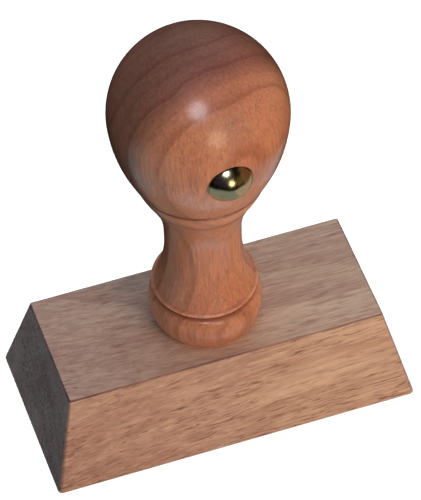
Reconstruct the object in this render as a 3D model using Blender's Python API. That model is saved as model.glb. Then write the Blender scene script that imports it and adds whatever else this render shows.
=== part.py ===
"""Wooden hand stamp: a turned knob handle screwed to a sloping block, with a cushioned rubber die.

Frame: metres, +Z up. The origin is the middle of the printing face, on the handle's turning axis.
X runs along the block's length, and -Y is the front, which the domed tack marks.
Every piece keeps a small gap to its neighbours, where the real ones touch.
"""
import bpy
import bmesh
from math import asin, cos, sin, tan, pi, radians, sqrt, floor
from mathutils import Matrix, Vector

MM = 0.001

# Gaps between pieces that touch on the real stamp
GAP = 0.3 * MM
LAYER_GAP = 0.2 * MM

# How far cutters reach past what they cut
OVERSHOOT = 1 * MM

# Layers under the block, all of one outline
PAD_LENGTH = 60 * MM
PAD_DEPTH = 24 * MM
PAD_CORNER = 0.8 * MM
RELIEF_HEIGHT = 1.0 * MM
DIE_PLATE = 1.3 * MM
TAPE = 0.2 * MM
FOAM = 2.0 * MM

# Sloping block
BLOCK_LENGTH = 70.5 * MM
BLOCK_DEPTH = 35.2 * MM
BLOCK_TOP_LENGTH = 61 * MM
BLOCK_TOP_DEPTH = 24.9 * MM
BLOCK_HEIGHT = 20 * MM
BLOCK_EDGE = 0.35 * MM
HOLE_SEGMENTS = 32

# Turned handle: heights are measured up from the block's top face
BALL_RADIUS = 16.3 * MM
BALL_CENTRE = 54.4 * MM
BALL_FLANK_RADIUS = 34 * MM
BALL_FLANK_START = radians(5)
TAPER_ANGLE = radians(23.7)
RING_TOP = 40.2 * MM
RING_FLOOR = 39.4 * MM
RING_DEPTH = 0.4 * MM
BEAD_TOP = 39.0 * MM
BEAD_TOP_INSET = 0.3 * MM
BEAD_FOOT = 34.6 * MM
BEAD_FOOT_INSET = 0.2 * MM
BEAD_BULGE = 0.16 * MM
BEAD_RELEASE = 34.1 * MM
NECK_RADIUS = 7.1 * MM
NECK_TOP = 23.3 * MM
NECK_FOOT = 20.8 * MM
FLARE_RADIUS = 9.3 * MM
FLARE_HEIGHT = 9.95 * MM
LIP_CENTRE = (9.5 * MM, 9.35 * MM)
LIP_RADIUS = 0.42 * MM
FOOT_GROOVE_RADIUS = 8.5 * MM
FOOT_GROOVE_TOP = 8.65 * MM
FOOT_GROOVE_BOTTOM = 8.0 * MM
FOOT_SHOULDER_RADIUS = 9.85 * MM
FOOT_SHOULDER_HEIGHT = 7.45 * MM
FOOT_RADIUS = 10.6 * MM
FOOT_WIDEST_HEIGHT = 4.6 * MM
FOOT_BASE_RADIUS = 9.3 * MM
HANDLE_SEGMENTS = 56

# Screw that holds the handle, put in from under the block
SCREW_LENGTH = 38 * MM
SCREW_HEAD_RADIUS = 4.0 * MM
SCREW_HEAD_EDGE = 0.25 * MM
SCREW_SHANK_RADIUS = 2.1 * MM
SCREW_CORE_RADIUS = 1.45 * MM
SCREW_PITCH = 1.8 * MM
SCREW_THREAD_LENGTH = 22 * MM
SCREW_POINT_LENGTH = 4 * MM
SCREW_TIP_RADIUS = 0.65 * MM
SCREW_TIP_LENGTH = 1.2 * MM
SCREW_RUN_IN = 0.5 * MM
THREAD_ROWS_PER_TURN = 4
SCREW_RECESS_WIDTH = 0.9 * MM
SCREW_RECESS_SPAN = 4.2 * MM
SCREW_RECESS_DEPTH = 1.6 * MM
SCREW_SEGMENTS = 16
BORE_POINT = 1.5 * MM

# Domed tack in the front of the ball; its arcs run from the apex to the rim, each with a radius and
# the slope where it ends
TACK_ARCS = ((4.35 * MM, radians(34)), (6.4 * MM, radians(52)), (1.43 * MM, radians(90)))
TACK_SKIRT = 0.2 * MM
TACK_WALL = 0.4 * MM
TACK_DROP = 1.9 * MM
TACK_TURN = radians(2)
TACK_SEAT_DEPTH = 0.9 * MM
TACK_SEGMENTS = 32
NAIL_RADIUS = 0.75 * MM
NAIL_LENGTH = 12 * MM
NAIL_POINT = 2.5 * MM
NAIL_HEAD_RADIUS = 2.2 * MM
NAIL_HEAD_THICKNESS = 0.7 * MM
NAIL_SEGMENTS = 16

# Printing relief: a plain frame, ruled lines and a six-lobed flower
RELIEF_ROOT = 0.3 * MM
FRAME_MARGIN = 1.6 * MM
FRAME_WIDTH = 1.2 * MM
FRAME_CORNER = 2.5 * MM
FLOWER_RADIUS = 5.6 * MM
FLOWER_LOBES = 6
FLOWER_WAVE = 0.2
FLOWER_POINTS = 72
RULE_LENGTH = 15 * MM
RULE_WIDTH = 0.9 * MM
RULE_CENTRE = 17 * MM
RULE_SPACING = 5 * MM

# Heights of the layers' undersides above the printing face
LOWER_TAPE_Z = RELIEF_HEIGHT + DIE_PLATE + LAYER_GAP
FOAM_Z = LOWER_TAPE_Z + TAPE + LAYER_GAP
UPPER_TAPE_Z = FOAM_Z + FOAM + LAYER_GAP
BLOCK_Z = UPPER_TAPE_Z + TAPE + LAYER_GAP
BLOCK_TOP_Z = BLOCK_Z + BLOCK_HEIGHT
SCREW_Z = BLOCK_Z + GAP
BORE_RADIUS = SCREW_SHANK_RADIUS + GAP
BORE_TOP_Z = SCREW_Z + SCREW_LENGTH + GAP
TACK_Z = BLOCK_TOP_Z + BALL_CENTRE - TACK_DROP
TACK_SEAT_Y = -(BALL_RADIUS - TACK_SEAT_DEPTH)
THREAD_START = SCREW_LENGTH - SCREW_THREAD_LENGTH


def clear_scene():
    """Remove every object, so that the model starts from nothing."""
    for thing in list(bpy.data.objects):
        bpy.data.objects.remove(thing, do_unlink=True)


def material(name, colour, roughness, metallic=0.0, coat=0.0):
    """One plain finish on a Principled shader."""
    finish = bpy.data.materials.new(name)
    finish.use_nodes = True
    shader = finish.node_tree.nodes["Principled BSDF"]
    shader.inputs["Base Color"].default_value = (*colour, 1.0)
    shader.inputs["Roughness"].default_value = roughness
    shader.inputs["Metallic"].default_value = metallic
    shader.inputs["Coat Weight"].default_value = coat
    finish.diffuse_color = (*colour, 1.0)
    return finish


def add_object(name, mesh_maker, finish=None):
    """Turn a bmesh into a named object, with its faces pointing out."""
    bmesh.ops.recalc_face_normals(mesh_maker, faces=mesh_maker.faces)
    mesh = bpy.data.meshes.new(name)
    mesh_maker.to_mesh(mesh)
    mesh_maker.free()
    piece = bpy.data.objects.new(name, mesh)
    bpy.context.collection.objects.link(piece)
    if finish:
        mesh.materials.append(finish)
    return piece


def smooth(piece, angle=35):
    """Shade round faces smooth and keep the crisp turned edges."""
    piece.data.shade_smooth()
    piece.data.set_sharp_from_angle(angle=radians(angle))


def guide(piece):
    """Mark a cutter or an operand as a helper that isn't part of the stamp."""
    piece.hide_render = True
    piece.display_type = "WIRE"
    return piece


def boolean(piece, other, operation):
    """Cut or join with the exact solver."""
    step = piece.modifiers.new(operation.lower(), "BOOLEAN")
    step.operation = operation
    step.solver = "EXACT"
    step.object = other


def arc(centre, radius, start, end, steps):
    """Points (r, z) on an arc, from the start angle to the end angle, both ends included."""
    points = []
    for i in range(steps + 1):
        angle = start + (end - start) * i / steps
        points.append((centre[0] + radius * cos(angle), centre[1] + radius * sin(angle)))
    return points


def bowed(start, end, bulge, steps):
    """Points (r, z) from start to end, bowed outwards from the turning axis."""
    along_r, along_z = end[0] - start[0], end[1] - start[1]
    length = sqrt(along_r ** 2 + along_z ** 2)
    out_r, out_z = -along_z / length, along_r / length
    points = []
    for i in range(steps + 1):
        t = i / steps
        reach = 4 * bulge * t * (1 - t)
        points.append((start[0] + along_r * t + out_r * reach, start[1] + along_z * t + out_z * reach))
    return points


def turned(outline, segments):
    """Spin an outline of (r, z) points about Z into a closed body."""
    spun = bmesh.new()
    corners = [spun.verts.new((r, 0.0, z)) for r, z in outline]
    edges = [spun.edges.new(pair) for pair in zip(corners, corners[1:])]
    bmesh.ops.spin(
        spun, geom=corners + edges, cent=(0, 0, 0), axis=(0, 0, 1),
        angle=2 * pi, steps=segments, use_merge=True)
    bmesh.ops.remove_doubles(spun, verts=spun.verts, dist=0.001 * MM)
    return spun


def prism(outline, bottom, top):
    """Extrude an outline of (x, y) points between two heights."""
    solid = bmesh.new()
    face = solid.faces.new([solid.verts.new((x, y, bottom)) for x, y in outline])
    raised = bmesh.ops.extrude_face_region(solid, geom=[face])
    lifted = [item for item in raised["geom"] if isinstance(item, bmesh.types.BMVert)]
    bmesh.ops.translate(solid, verts=lifted, vec=(0, 0, top - bottom))
    return solid


def rounded_rectangle(length, depth, corner, steps=5):
    """Outline of a rectangle about the origin, with round corners."""
    points = []
    for turn, (sx, sy) in enumerate(((1, 1), (-1, 1), (-1, -1), (1, -1))):
        centre = (sx * (length / 2 - corner), sy * (depth / 2 - corner))
        start = turn * pi / 2
        points += arc(centre, corner, start, start + pi / 2, steps)
    return points


def layer(name, bottom, thickness, finish):
    """One of the flat layers under the block, all cut to the same outline."""
    outline = rounded_rectangle(PAD_LENGTH, PAD_DEPTH, PAD_CORNER)
    return add_object(name, prism(outline, bottom, bottom + thickness), finish)


def frustum():
    """The block's bare body: a box whose four sides all slope in towards the top."""
    body = bmesh.new()
    bmesh.ops.create_cube(body, size=1.0)
    for corner in body.verts:
        low = corner.co.z < 0
        length = BLOCK_LENGTH if low else BLOCK_TOP_LENGTH
        depth = BLOCK_DEPTH if low else BLOCK_TOP_DEPTH
        height = BLOCK_Z if low else BLOCK_TOP_Z
        corner.co = Vector((corner.co.x * length, corner.co.y * depth, height))
    return body


def mount_block(finish):
    """Beech block, edges eased, drilled and countersunk for the handle screw."""
    block = add_object("mount_block", frustum(), finish)
    ease = block.modifiers.new("eased_edges", "BEVEL")
    ease.width = BLOCK_EDGE
    ease.segments = 3
    ease.limit_method = "ANGLE"
    mouth = SCREW_HEAD_RADIUS + SCREW_HEAD_EDGE + GAP + GAP * sqrt(2)
    hole = [
        (0, BLOCK_Z - OVERSHOOT),
        (mouth + OVERSHOOT, BLOCK_Z - OVERSHOOT),
        (BORE_RADIUS, BLOCK_Z + mouth - BORE_RADIUS),
        (BORE_RADIUS, BLOCK_TOP_Z + OVERSHOOT),
        (0, BLOCK_TOP_Z + OVERSHOOT),
    ]
    boolean(block, guide(add_object("screw_hole", turned(hole, HOLE_SEGMENTS))), "DIFFERENCE")
    smooth(block, 30)
    return block


def taper_joints():
    """Where the ball's flank meets the straight taper, and the radius of the neck's upper curve."""
    offset = BALL_RADIUS - BALL_FLANK_RADIUS
    flank = (offset * cos(BALL_FLANK_START), BALL_CENTRE - offset * sin(BALL_FLANK_START))
    end_r = flank[0] + BALL_FLANK_RADIUS * cos(TAPER_ANGLE)
    end_z = flank[1] - BALL_FLANK_RADIUS * sin(TAPER_ANGLE)
    slope = tan(TAPER_ANGLE)
    missing = slope * (end_z - NECK_TOP) - (end_r - NECK_RADIUS)
    upper = missing / (slope * sin(TAPER_ANGLE) - 1 + cos(TAPER_ANGLE))
    return flank, (end_r, end_z), upper


def bead_outline(taper_start):
    """A groove scribed round the straight taper, and the bead turned below it."""

    def on_taper(z, inwards):
        return taper_start[0] + (z - taper_start[1]) * tan(TAPER_ANGLE) - inwards, z

    points = [on_taper(RING_TOP, 0), on_taper(RING_FLOOR, RING_DEPTH)]
    bead_start = on_taper(BEAD_TOP, BEAD_TOP_INSET)
    bead_end = on_taper(BEAD_FOOT, BEAD_FOOT_INSET)
    points += bowed(bead_start, bead_end, BEAD_BULGE, 6)
    points.append(on_taper(BEAD_RELEASE, 0))
    return points


def handle_outline():
    """The handle's outer outline from the top down, above the block's top face."""
    flank, taper_start, upper = taper_joints()
    points = arc((0, BALL_CENTRE), BALL_RADIUS, pi / 2, -BALL_FLANK_START, 18)
    points[0] = (0, BALL_CENTRE + BALL_RADIUS)
    points += arc(flank, BALL_FLANK_RADIUS, -BALL_FLANK_START, -TAPER_ANGLE, 5)[1:]
    points += bead_outline(taper_start)
    points += arc((NECK_RADIUS + upper, NECK_TOP), upper, pi - TAPER_ANGLE, pi, 5)
    drop = NECK_FOOT - FLARE_HEIGHT
    spread = FLARE_RADIUS - NECK_RADIUS
    lower = (spread ** 2 + drop ** 2) / (2 * spread)
    points += arc((NECK_RADIUS + lower, NECK_FOOT), lower, pi, pi + asin(drop / lower), 6)
    points += foot_outline()
    return points


def foot_outline():
    """The lip under the flare, the deep vee below it and the barrel foot, down to its flat base."""
    points = arc(LIP_CENTRE, LIP_RADIUS, radians(75), radians(-90), 4)
    points.append((FOOT_GROOVE_RADIUS, FOOT_GROOVE_TOP))
    points.append((FOOT_GROOVE_RADIUS, FOOT_GROOVE_BOTTOM))
    steps = 8
    for i in range(steps + 1):
        z = FOOT_SHOULDER_HEIGHT + (GAP - FOOT_SHOULDER_HEIGHT) * i / steps
        if z > FOOT_WIDEST_HEIGHT:
            reach = (z - FOOT_WIDEST_HEIGHT) / (FOOT_SHOULDER_HEIGHT - FOOT_WIDEST_HEIGHT)
            edge = FOOT_SHOULDER_RADIUS
        else:
            reach = (FOOT_WIDEST_HEIGHT - z) / (FOOT_WIDEST_HEIGHT - GAP)
            edge = FOOT_BASE_RADIUS
        points.append((FOOT_RADIUS - (FOOT_RADIUS - edge) * reach ** 2, z))
    return points


def tack_cutter():
    """Round seat for the tack's rim and a narrow hole for its nail, along the tack's axis."""
    nail_end = NAIL_LENGTH + GAP
    front = TACK_SEAT_DEPTH + OVERSHOOT
    seat_radius = dome_outline(0)[-1][0] + GAP
    outline = [
        (0, front),
        (seat_radius, front),
        (seat_radius, 0),
        (NAIL_RADIUS + GAP, 0),
        (NAIL_RADIUS + GAP, -nail_end),
        (0, -nail_end - NAIL_POINT / 2),
    ]
    cutter = add_object("tack_hole", turned(outline, TACK_SEGMENTS))
    cutter.matrix_world = tack_place()
    return guide(cutter)


def tack_place():
    """Place of the tack: its local +Z points out of the ball's front, its seat plane at z = 0."""
    seat = Matrix.Translation((0, TACK_SEAT_Y, TACK_Z)) @ Matrix.Rotation(radians(90), 4, "X")
    return Matrix.Rotation(TACK_TURN, 4, "Z") @ seat


def handle(finish):
    """One-piece turned knob handle, bored from below for the screw and seated for the tack."""
    outline = [(r, BLOCK_TOP_Z + z) for r, z in handle_outline()]
    bore = [
        (BORE_RADIUS, BLOCK_TOP_Z + GAP),
        (BORE_RADIUS, BORE_TOP_Z),
        (0, BORE_TOP_Z + BORE_POINT),
    ]
    knob = add_object("handle", turned(outline + bore, HANDLE_SEGMENTS), finish)
    boolean(knob, tack_cutter(), "DIFFERENCE")
    smooth(knob, 30)
    return knob


def thread_height(turns):
    """Share of the thread's depth at a number of turns along it: a ridge with a flat root."""
    phase = turns - floor(turns)
    return max(0.0, 1.0 - abs(phase - 0.5) * 4)


def screw_outline():
    """The screw's plain head and shank, from the head's face up to where its thread starts."""
    neck = SCREW_HEAD_RADIUS - SCREW_SHANK_RADIUS
    return [
        (SCREW_HEAD_RADIUS, 0),
        (SCREW_HEAD_RADIUS, SCREW_HEAD_EDGE),
        (SCREW_SHANK_RADIUS, neck + SCREW_HEAD_EDGE),
        (SCREW_SHANK_RADIUS, THREAD_START - SCREW_RUN_IN),
    ]


def screw_body():
    """The screw as rings of points: turned head and shank, then a helical thread to the point."""
    body = bmesh.new()
    rings = []
    for radius, z in screw_outline():
        rings.append([(radius, z)] * SCREW_SEGMENTS)
    thread_length = SCREW_THREAD_LENGTH - SCREW_POINT_LENGTH
    rows = round(thread_length / SCREW_PITCH * THREAD_ROWS_PER_TURN)
    for row in range(rows + 1):
        z = THREAD_START + thread_length * row / rows
        ring = []
        for k in range(SCREW_SEGMENTS):
            turns = z / SCREW_PITCH - k / SCREW_SEGMENTS
            rise = thread_height(turns) * (SCREW_SHANK_RADIUS - SCREW_CORE_RADIUS)
            ring.append((SCREW_CORE_RADIUS + rise, z))
        rings.append(ring)
    rings.append([(SCREW_TIP_RADIUS, SCREW_LENGTH - SCREW_TIP_LENGTH)] * SCREW_SEGMENTS)
    loops = []
    for ring in rings:
        loop = []
        for k, (radius, z) in enumerate(ring):
            angle = 2 * pi * k / SCREW_SEGMENTS
            loop.append(body.verts.new((radius * cos(angle), radius * sin(angle), z)))
        loops.append(loop)
    for low, high in zip(loops, loops[1:]):
        for k in range(SCREW_SEGMENTS):
            after = (k + 1) % SCREW_SEGMENTS
            body.faces.new((low[k], low[after], high[after], high[k]))
    body.faces.new(loops[0])
    point = body.verts.new((0, 0, SCREW_LENGTH))
    for k in range(SCREW_SEGMENTS):
        body.faces.new((loops[-1][k], loops[-1][(k + 1) % SCREW_SEGMENTS], point))
    return body


def cross_outline(width, span):
    """Outline of a plus sign about the origin."""
    near = width / 2
    far = span / 2
    quarter = [(far, -near), (far, near), (near, near)]
    points = []
    for turn in range(4):
        c, s = round(cos(turn * pi / 2)), round(sin(turn * pi / 2))
        points += [(x * c - y * s, x * s + y * c) for x, y in quarter]
    return points


def handle_screw(finish):
    """Countersunk wood screw with a cross recess, head down, holding the handle on the block."""
    screw = add_object("handle_screw", screw_body(), finish)
    screw.location = (0, 0, SCREW_Z)
    recess = prism(cross_outline(SCREW_RECESS_WIDTH, SCREW_RECESS_SPAN), -OVERSHOOT, SCREW_RECESS_DEPTH)
    driver = guide(add_object("driver_recess", recess))
    driver.location = screw.location
    boolean(screw, driver, "DIFFERENCE")
    smooth(screw, 30)
    return screw


def dome_outline(inwards):
    """Outline of the tack's dome from its apex to its skirt, moved inwards; its rim is at z = 0."""
    points = [(0.0, TACK_ARCS[0][0] - inwards)]
    centre_r, centre_z = 0.0, 0.0
    start, last = 0.0, TACK_ARCS[0][0]
    for radius, end in TACK_ARCS:
        centre_r -= (radius - last) * sin(start)
        centre_z -= (radius - last) * cos(start)
        for step in range(1, 5):
            slope = start + (end - start) * step / 4
            reach = radius - inwards
            points.append((centre_r + reach * sin(slope), centre_z + reach * cos(slope)))
        start, last = end, radius
    rim = points[-1][1]
    raised = [(r, z - rim + TACK_SKIRT) for r, z in points]
    return raised + [(raised[-1][0], 0.0)]


def tack_cap(finish):
    """Thin domed brass cap, hollow behind, its rim on the seat in the ball."""
    outline = dome_outline(0) + dome_outline(TACK_WALL)[::-1]
    cap = add_object("tack_cap", turned([(r, z + GAP) for r, z in outline], TACK_SEGMENTS), finish)
    cap.matrix_world = tack_place()
    smooth(cap)
    return cap


def tack_nail(finish):
    """Steel nail of the tack: a flat head inside the cap and a pointed shank in the ball."""
    outline = [
        (0, GAP + NAIL_HEAD_THICKNESS),
        (NAIL_HEAD_RADIUS, GAP + NAIL_HEAD_THICKNESS),
        (NAIL_HEAD_RADIUS, GAP),
        (NAIL_RADIUS, GAP),
        (NAIL_RADIUS, NAIL_POINT - NAIL_LENGTH),
        (0, -NAIL_LENGTH),
    ]
    nail = add_object("tack_nail", turned(outline, NAIL_SEGMENTS), finish)
    nail.matrix_world = tack_place()
    smooth(nail)
    return nail


def relief_frame():
    """Plain border of the relief: a rounded rectangle, inset and extruded into a raised rail."""
    length = PAD_LENGTH - 2 * FRAME_MARGIN
    depth = PAD_DEPTH - 2 * FRAME_MARGIN
    rail = bmesh.new()
    outline = rounded_rectangle(length, depth, FRAME_CORNER)
    face = rail.faces.new([rail.verts.new((x, y, 0)) for x, y in outline])
    face.normal_update()
    bmesh.ops.inset_individual(rail, faces=[face], thickness=FRAME_WIDTH)
    bmesh.ops.delete(rail, geom=[face], context="FACES")
    raised = bmesh.ops.extrude_face_region(rail, geom=list(rail.faces))
    lifted = [item for item in raised["geom"] if isinstance(item, bmesh.types.BMVert)]
    bmesh.ops.translate(rail, verts=lifted, vec=(0, 0, RELIEF_HEIGHT + RELIEF_ROOT))
    return rail


def flower_outline():
    """A circle waved into round petals."""
    points = []
    for i in range(FLOWER_POINTS):
        angle = 2 * pi * i / FLOWER_POINTS
        radius = FLOWER_RADIUS * (1 - FLOWER_WAVE / 2 + FLOWER_WAVE / 2 * cos(FLOWER_LOBES * angle))
        points.append((radius * cos(angle), radius * sin(angle)))
    return points


def bar_outline(x, y, length, width):
    """Corners of a straight bar about a point."""
    return [(x + sx * length / 2, y + sy * width / 2) for sx, sy in ((1, 1), (-1, 1), (-1, -1), (1, -1))]


def rubber_die(finish):
    """Moulded rubber plate with its raised printing relief, as one body."""
    top = RELIEF_HEIGHT + DIE_PLATE
    plate = prism(rounded_rectangle(PAD_LENGTH, PAD_DEPTH, PAD_CORNER), RELIEF_HEIGHT, top)
    die = add_object("rubber_die", plate, finish)
    root = RELIEF_HEIGHT + RELIEF_ROOT
    reliefs = [relief_frame(), prism(flower_outline(), 0, root)]
    for side in (-1, 1):
        for line in (-1, 0, 1):
            bar = bar_outline(side * RULE_CENTRE, line * RULE_SPACING, RULE_LENGTH, RULE_WIDTH)
            reliefs.append(prism(bar, 0, root))
    for number, relief in enumerate(reliefs):
        shape = guide(add_object(f"relief_{number}", relief))
        boolean(die, shape, "UNION")
    return die


def main():
    clear_scene()
    beech = material("beech", (0.41, 0.24, 0.14), 0.6)
    lacquered_beech = material("lacquered_beech", (0.42, 0.17, 0.08), 0.3, coat=0.6)
    brass = material("brass", (0.62, 0.45, 0.18), 0.15, metallic=1.0)
    steel = material("zinc_plated_steel", (0.45, 0.45, 0.43), 0.35, metallic=1.0)
    tape = material("tape_film", (0.75, 0.73, 0.66), 0.4)
    foam = material("foam", (0.55, 0.55, 0.53), 0.95)
    rubber = material("rubber", (0.30, 0.09, 0.07), 0.7)
    handle(lacquered_beech)
    tack_cap(brass)
    tack_nail(steel)
    handle_screw(steel)
    mount_block(beech)
    layer("upper_tape", UPPER_TAPE_Z, TAPE, tape)
    layer("foam_cushion", FOAM_Z, FOAM, foam)
    layer("lower_tape", LOWER_TAPE_Z, TAPE, tape)
    rubber_die(rubber)


main()
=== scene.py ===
# Looks of the wooden hand stamp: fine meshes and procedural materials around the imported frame.
# Positions are metres in the frame; -Y is the front, which the domed tack marks.

from math import asin, atan, cos, sin, tan, pi, radians

import bmesh
import bpy
from mathutils import Matrix, Vector


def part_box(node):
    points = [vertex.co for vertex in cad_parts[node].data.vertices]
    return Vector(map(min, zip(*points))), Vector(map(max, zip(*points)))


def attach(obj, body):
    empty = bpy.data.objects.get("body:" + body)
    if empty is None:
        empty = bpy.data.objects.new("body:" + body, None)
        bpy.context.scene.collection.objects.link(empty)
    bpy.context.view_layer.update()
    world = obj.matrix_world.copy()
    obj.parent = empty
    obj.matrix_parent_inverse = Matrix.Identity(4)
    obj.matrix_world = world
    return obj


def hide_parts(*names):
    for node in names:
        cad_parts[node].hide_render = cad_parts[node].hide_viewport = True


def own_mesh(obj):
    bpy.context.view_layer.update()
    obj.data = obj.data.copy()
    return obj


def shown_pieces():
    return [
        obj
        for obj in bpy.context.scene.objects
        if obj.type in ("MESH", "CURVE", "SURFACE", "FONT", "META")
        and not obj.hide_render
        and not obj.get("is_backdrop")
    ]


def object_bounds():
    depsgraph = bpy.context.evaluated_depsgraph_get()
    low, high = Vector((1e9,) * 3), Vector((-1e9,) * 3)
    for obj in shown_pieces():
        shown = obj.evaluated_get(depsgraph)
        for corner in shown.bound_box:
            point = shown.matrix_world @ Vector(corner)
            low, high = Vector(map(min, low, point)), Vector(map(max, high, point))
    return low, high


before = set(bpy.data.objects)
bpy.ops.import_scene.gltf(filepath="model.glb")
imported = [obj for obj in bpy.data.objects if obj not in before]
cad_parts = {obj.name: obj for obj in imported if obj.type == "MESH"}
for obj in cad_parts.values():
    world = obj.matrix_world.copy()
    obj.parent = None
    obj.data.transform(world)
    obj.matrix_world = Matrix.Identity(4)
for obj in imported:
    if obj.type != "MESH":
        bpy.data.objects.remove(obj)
CAD_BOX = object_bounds()

MM = 0.001

BLOCK_LOW, BLOCK_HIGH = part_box("mount_block")
HANDLE_LOW, HANDLE_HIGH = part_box("handle")
DIE_LOW, DIE_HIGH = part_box("rubber_die")
FOAM_LOW, FOAM_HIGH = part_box("foam_cushion")
UPPER_TAPE_LOW, UPPER_TAPE_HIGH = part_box("upper_tape")
LOWER_TAPE_LOW, LOWER_TAPE_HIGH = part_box("lower_tape")
CAP_LOW, CAP_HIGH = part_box("tack_cap")
SCREW_TIP_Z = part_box("handle_screw")[1].z

# How far cutters reach past what they cut, and points closer than this are one
OVERSHOOT = 1 * MM
MERGE_DISTANCE = 0.0005 * MM

# Block
BLOCK_BASE = (70.5 * MM, 35.2 * MM)
BLOCK_TOP = (61 * MM, 24.9 * MM)
BLOCK_EDGE = 0.4 * MM
BLOCK_BASE_CORNER = 0.95 * MM
BLOCK_TOP_CORNER = 0.5 * MM
BLOCK_EDGE_STEPS = 6
HOLE_MOUTH = 5.0 * MM
HOLE_SEGMENTS = 64

# Bore for the handle screw, in the block and on up into the handle
BORE_RADIUS = 2.4 * MM
BORE_PLAY = 0.3 * MM
BORE_POINT = 1.5 * MM

# Turned handle, measured up from the block's top face
TOP_Z = BLOCK_HIGH.z
BALL_RADIUS = (HANDLE_HIGH.x - HANDLE_LOW.x) / 2
BALL_CENTRE = HANDLE_HIGH.z - BALL_RADIUS - TOP_Z
FLANK_RADIUS = 34 * MM
FLANK_START = radians(5)
TAPER_ANGLE = radians(23.7)
NECK_RADIUS = 7.1 * MM
NECK_TOP = 23.3 * MM
NECK_FOOT = 20.8 * MM
FLARE_RADIUS = 9.3 * MM
FLARE_HEIGHT = 9.95 * MM
LIP_CENTRE = (9.5 * MM, 9.35 * MM)
LIP_RADIUS = 0.42 * MM
LIP_START = radians(75)
LIP_END = radians(-100)
# Points (radius, height) of the rounded vee under the lip
VEE = ((8.75 * MM, 8.76 * MM), (8.52 * MM, 8.5 * MM), (8.46 * MM, 8.28 * MM), (8.62 * MM, 8.05 * MM),
       (9.2 * MM, 7.8 * MM), (9.65 * MM, 7.62 * MM))
SHOULDER_RADIUS = 9.85 * MM
SHOULDER_HEIGHT = 7.42 * MM
FOOT_RADIUS = 10.6 * MM
FOOT_WIDEST_HEIGHT = 4.6 * MM
FOOT_BASE_RADIUS = 9.3 * MM
FOOT_FULLNESS = 2.2
HANDLE_SEGMENTS = 144
# Steps along each stretch of the handle's outline
BALL_STEPS = 48
FLANK_STEPS = 14
RINGED_STEPS = 60
NECK_TOP_STEPS = 14
NECK_FOOT_STEPS = 18
LIP_STEPS = 10
FOOT_STEPS = 22

# Rings scribed round the straight taper (height, width, depth) and the bead between them
RINGS = ((39.85 * MM, 1.1 * MM, 0.4 * MM), (34.25 * MM, 0.9 * MM, 0.25 * MM))
BEAD_TOP = 39.3 * MM
BEAD_FOOT = 34.5 * MM
BEAD_BULGE = 0.16 * MM
RINGED_TOP = 40.8 * MM
RINGED_FOOT = 33.6 * MM

# Domed tack: it stands on a round seat in the ball
CAP_RADIUS = (CAP_HIGH.z - CAP_LOW.z) / 2
CAP_CENTRE_Z = (CAP_HIGH.z + CAP_LOW.z) / 2
CAP_SKIRT = 0.2 * MM
CAP_WALL = 0.35 * MM
# Arcs of the dome from its top to its rim: radius and the slope where each ends
CAP_ARCS = ((4.35 * MM, radians(34)), (6.4 * MM, radians(52)), (1.43 * MM, radians(90)))
CAP_TURN = radians(2)
CAP_SEAT = BALL_RADIUS - 0.9 * MM
CAP_PLAY = 0.04 * MM
CAP_RIM_EASE = 0.06 * MM
CAP_STEPS = 12
CAP_SEGMENTS = 96
SEAT_FRONT = 3 * MM
NAIL_HOLE_RADIUS = 1.05 * MM
NAIL_HOLE_DEPTH = 12.3 * MM

# Layers under the block: round corners, and how far the foam's sides are drawn in
PAD_CORNER = 0.8 * MM
FOAM_HOLLOW = 0.12 * MM
LAYER_STEPS = 8
# Layers meet half way across the CAD gaps
DIE_TOP = (DIE_HIGH.z + LOWER_TAPE_LOW.z) / 2
FOAM_BOTTOM = (LOWER_TAPE_HIGH.z + FOAM_LOW.z) / 2
FOAM_TOP = (FOAM_HIGH.z + UPPER_TAPE_LOW.z) / 2

# Printing relief; its shoulder's levels are (height, spread) as shares, from the face to the plate
RELIEF_HEIGHT = 1.0 * MM
SHOULDER = 0.28 * MM
SHOULDER_LEVELS = ((0.0, 0.02), (0.04, 0.0), (0.5, 0.25), (0.85, 0.55), (1.0, 1.0), (1.35, 1.0))
PLATE_EASE = 0.15 * MM
FRAME_MARGIN = 1.6 * MM
FRAME_WIDTH = 1.2 * MM
FRAME_CORNER = 2.5 * MM
FLOWER_RADIUS = 5.6 * MM
FLOWER_LOBES = 6
FLOWER_WAVE = 0.2
FLOWER_POINTS = 144
RULE_LENGTH = 15 * MM
RULE_WIDTH = 0.9 * MM
RULE_CORNER = 0.2 * MM
RULE_CENTRE = 17 * MM
RULE_SPACING = 5 * MM

# Camera: front left, a little over half way up to overhead
CAMERA_AZIMUTH = radians(-17.2)
CAMERA_ELEVATION = radians(50)
CAMERA_ROLL = radians(-2.1)
CAMERA_DISTANCE = 0.7315
CAMERA_LENS = 288
CAMERA_TARGET = Vector((1.35 * MM, 0, BLOCK_LOW.z + 36.3 * MM))

STUDIO_RADIUS = 4.0
FLOOR_LIGHT = 3.9
FLOOR_LIGHT_SPREAD = radians(30)
# The lamps aim at this height on the turning axis
LIGHT_AIM_Z = 40 * MM


# ---------------------------------------------------------------- shape helpers

def add_object(name, maker):
    """Turn a bmesh into an object with its faces pointing out."""
    bmesh.ops.recalc_face_normals(maker, faces=maker.faces)
    mesh = bpy.data.meshes.new(name)
    maker.to_mesh(mesh)
    maker.free()
    piece = bpy.data.objects.new(name, mesh)
    bpy.context.scene.collection.objects.link(piece)
    return piece


def smooth(piece, angle=32):
    """Shade round faces smooth and keep edges sharper than the angle."""
    piece.data.shade_smooth()
    piece.data.set_sharp_from_angle(angle=radians(angle))
    return piece


def settle(piece):
    """Turn a piece's modifiers into its mesh."""
    graph = bpy.context.evaluated_depsgraph_get()
    result = bpy.data.meshes.new_from_object(piece.evaluated_get(graph))
    piece.modifiers.clear()
    piece.data = result
    return piece


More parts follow.
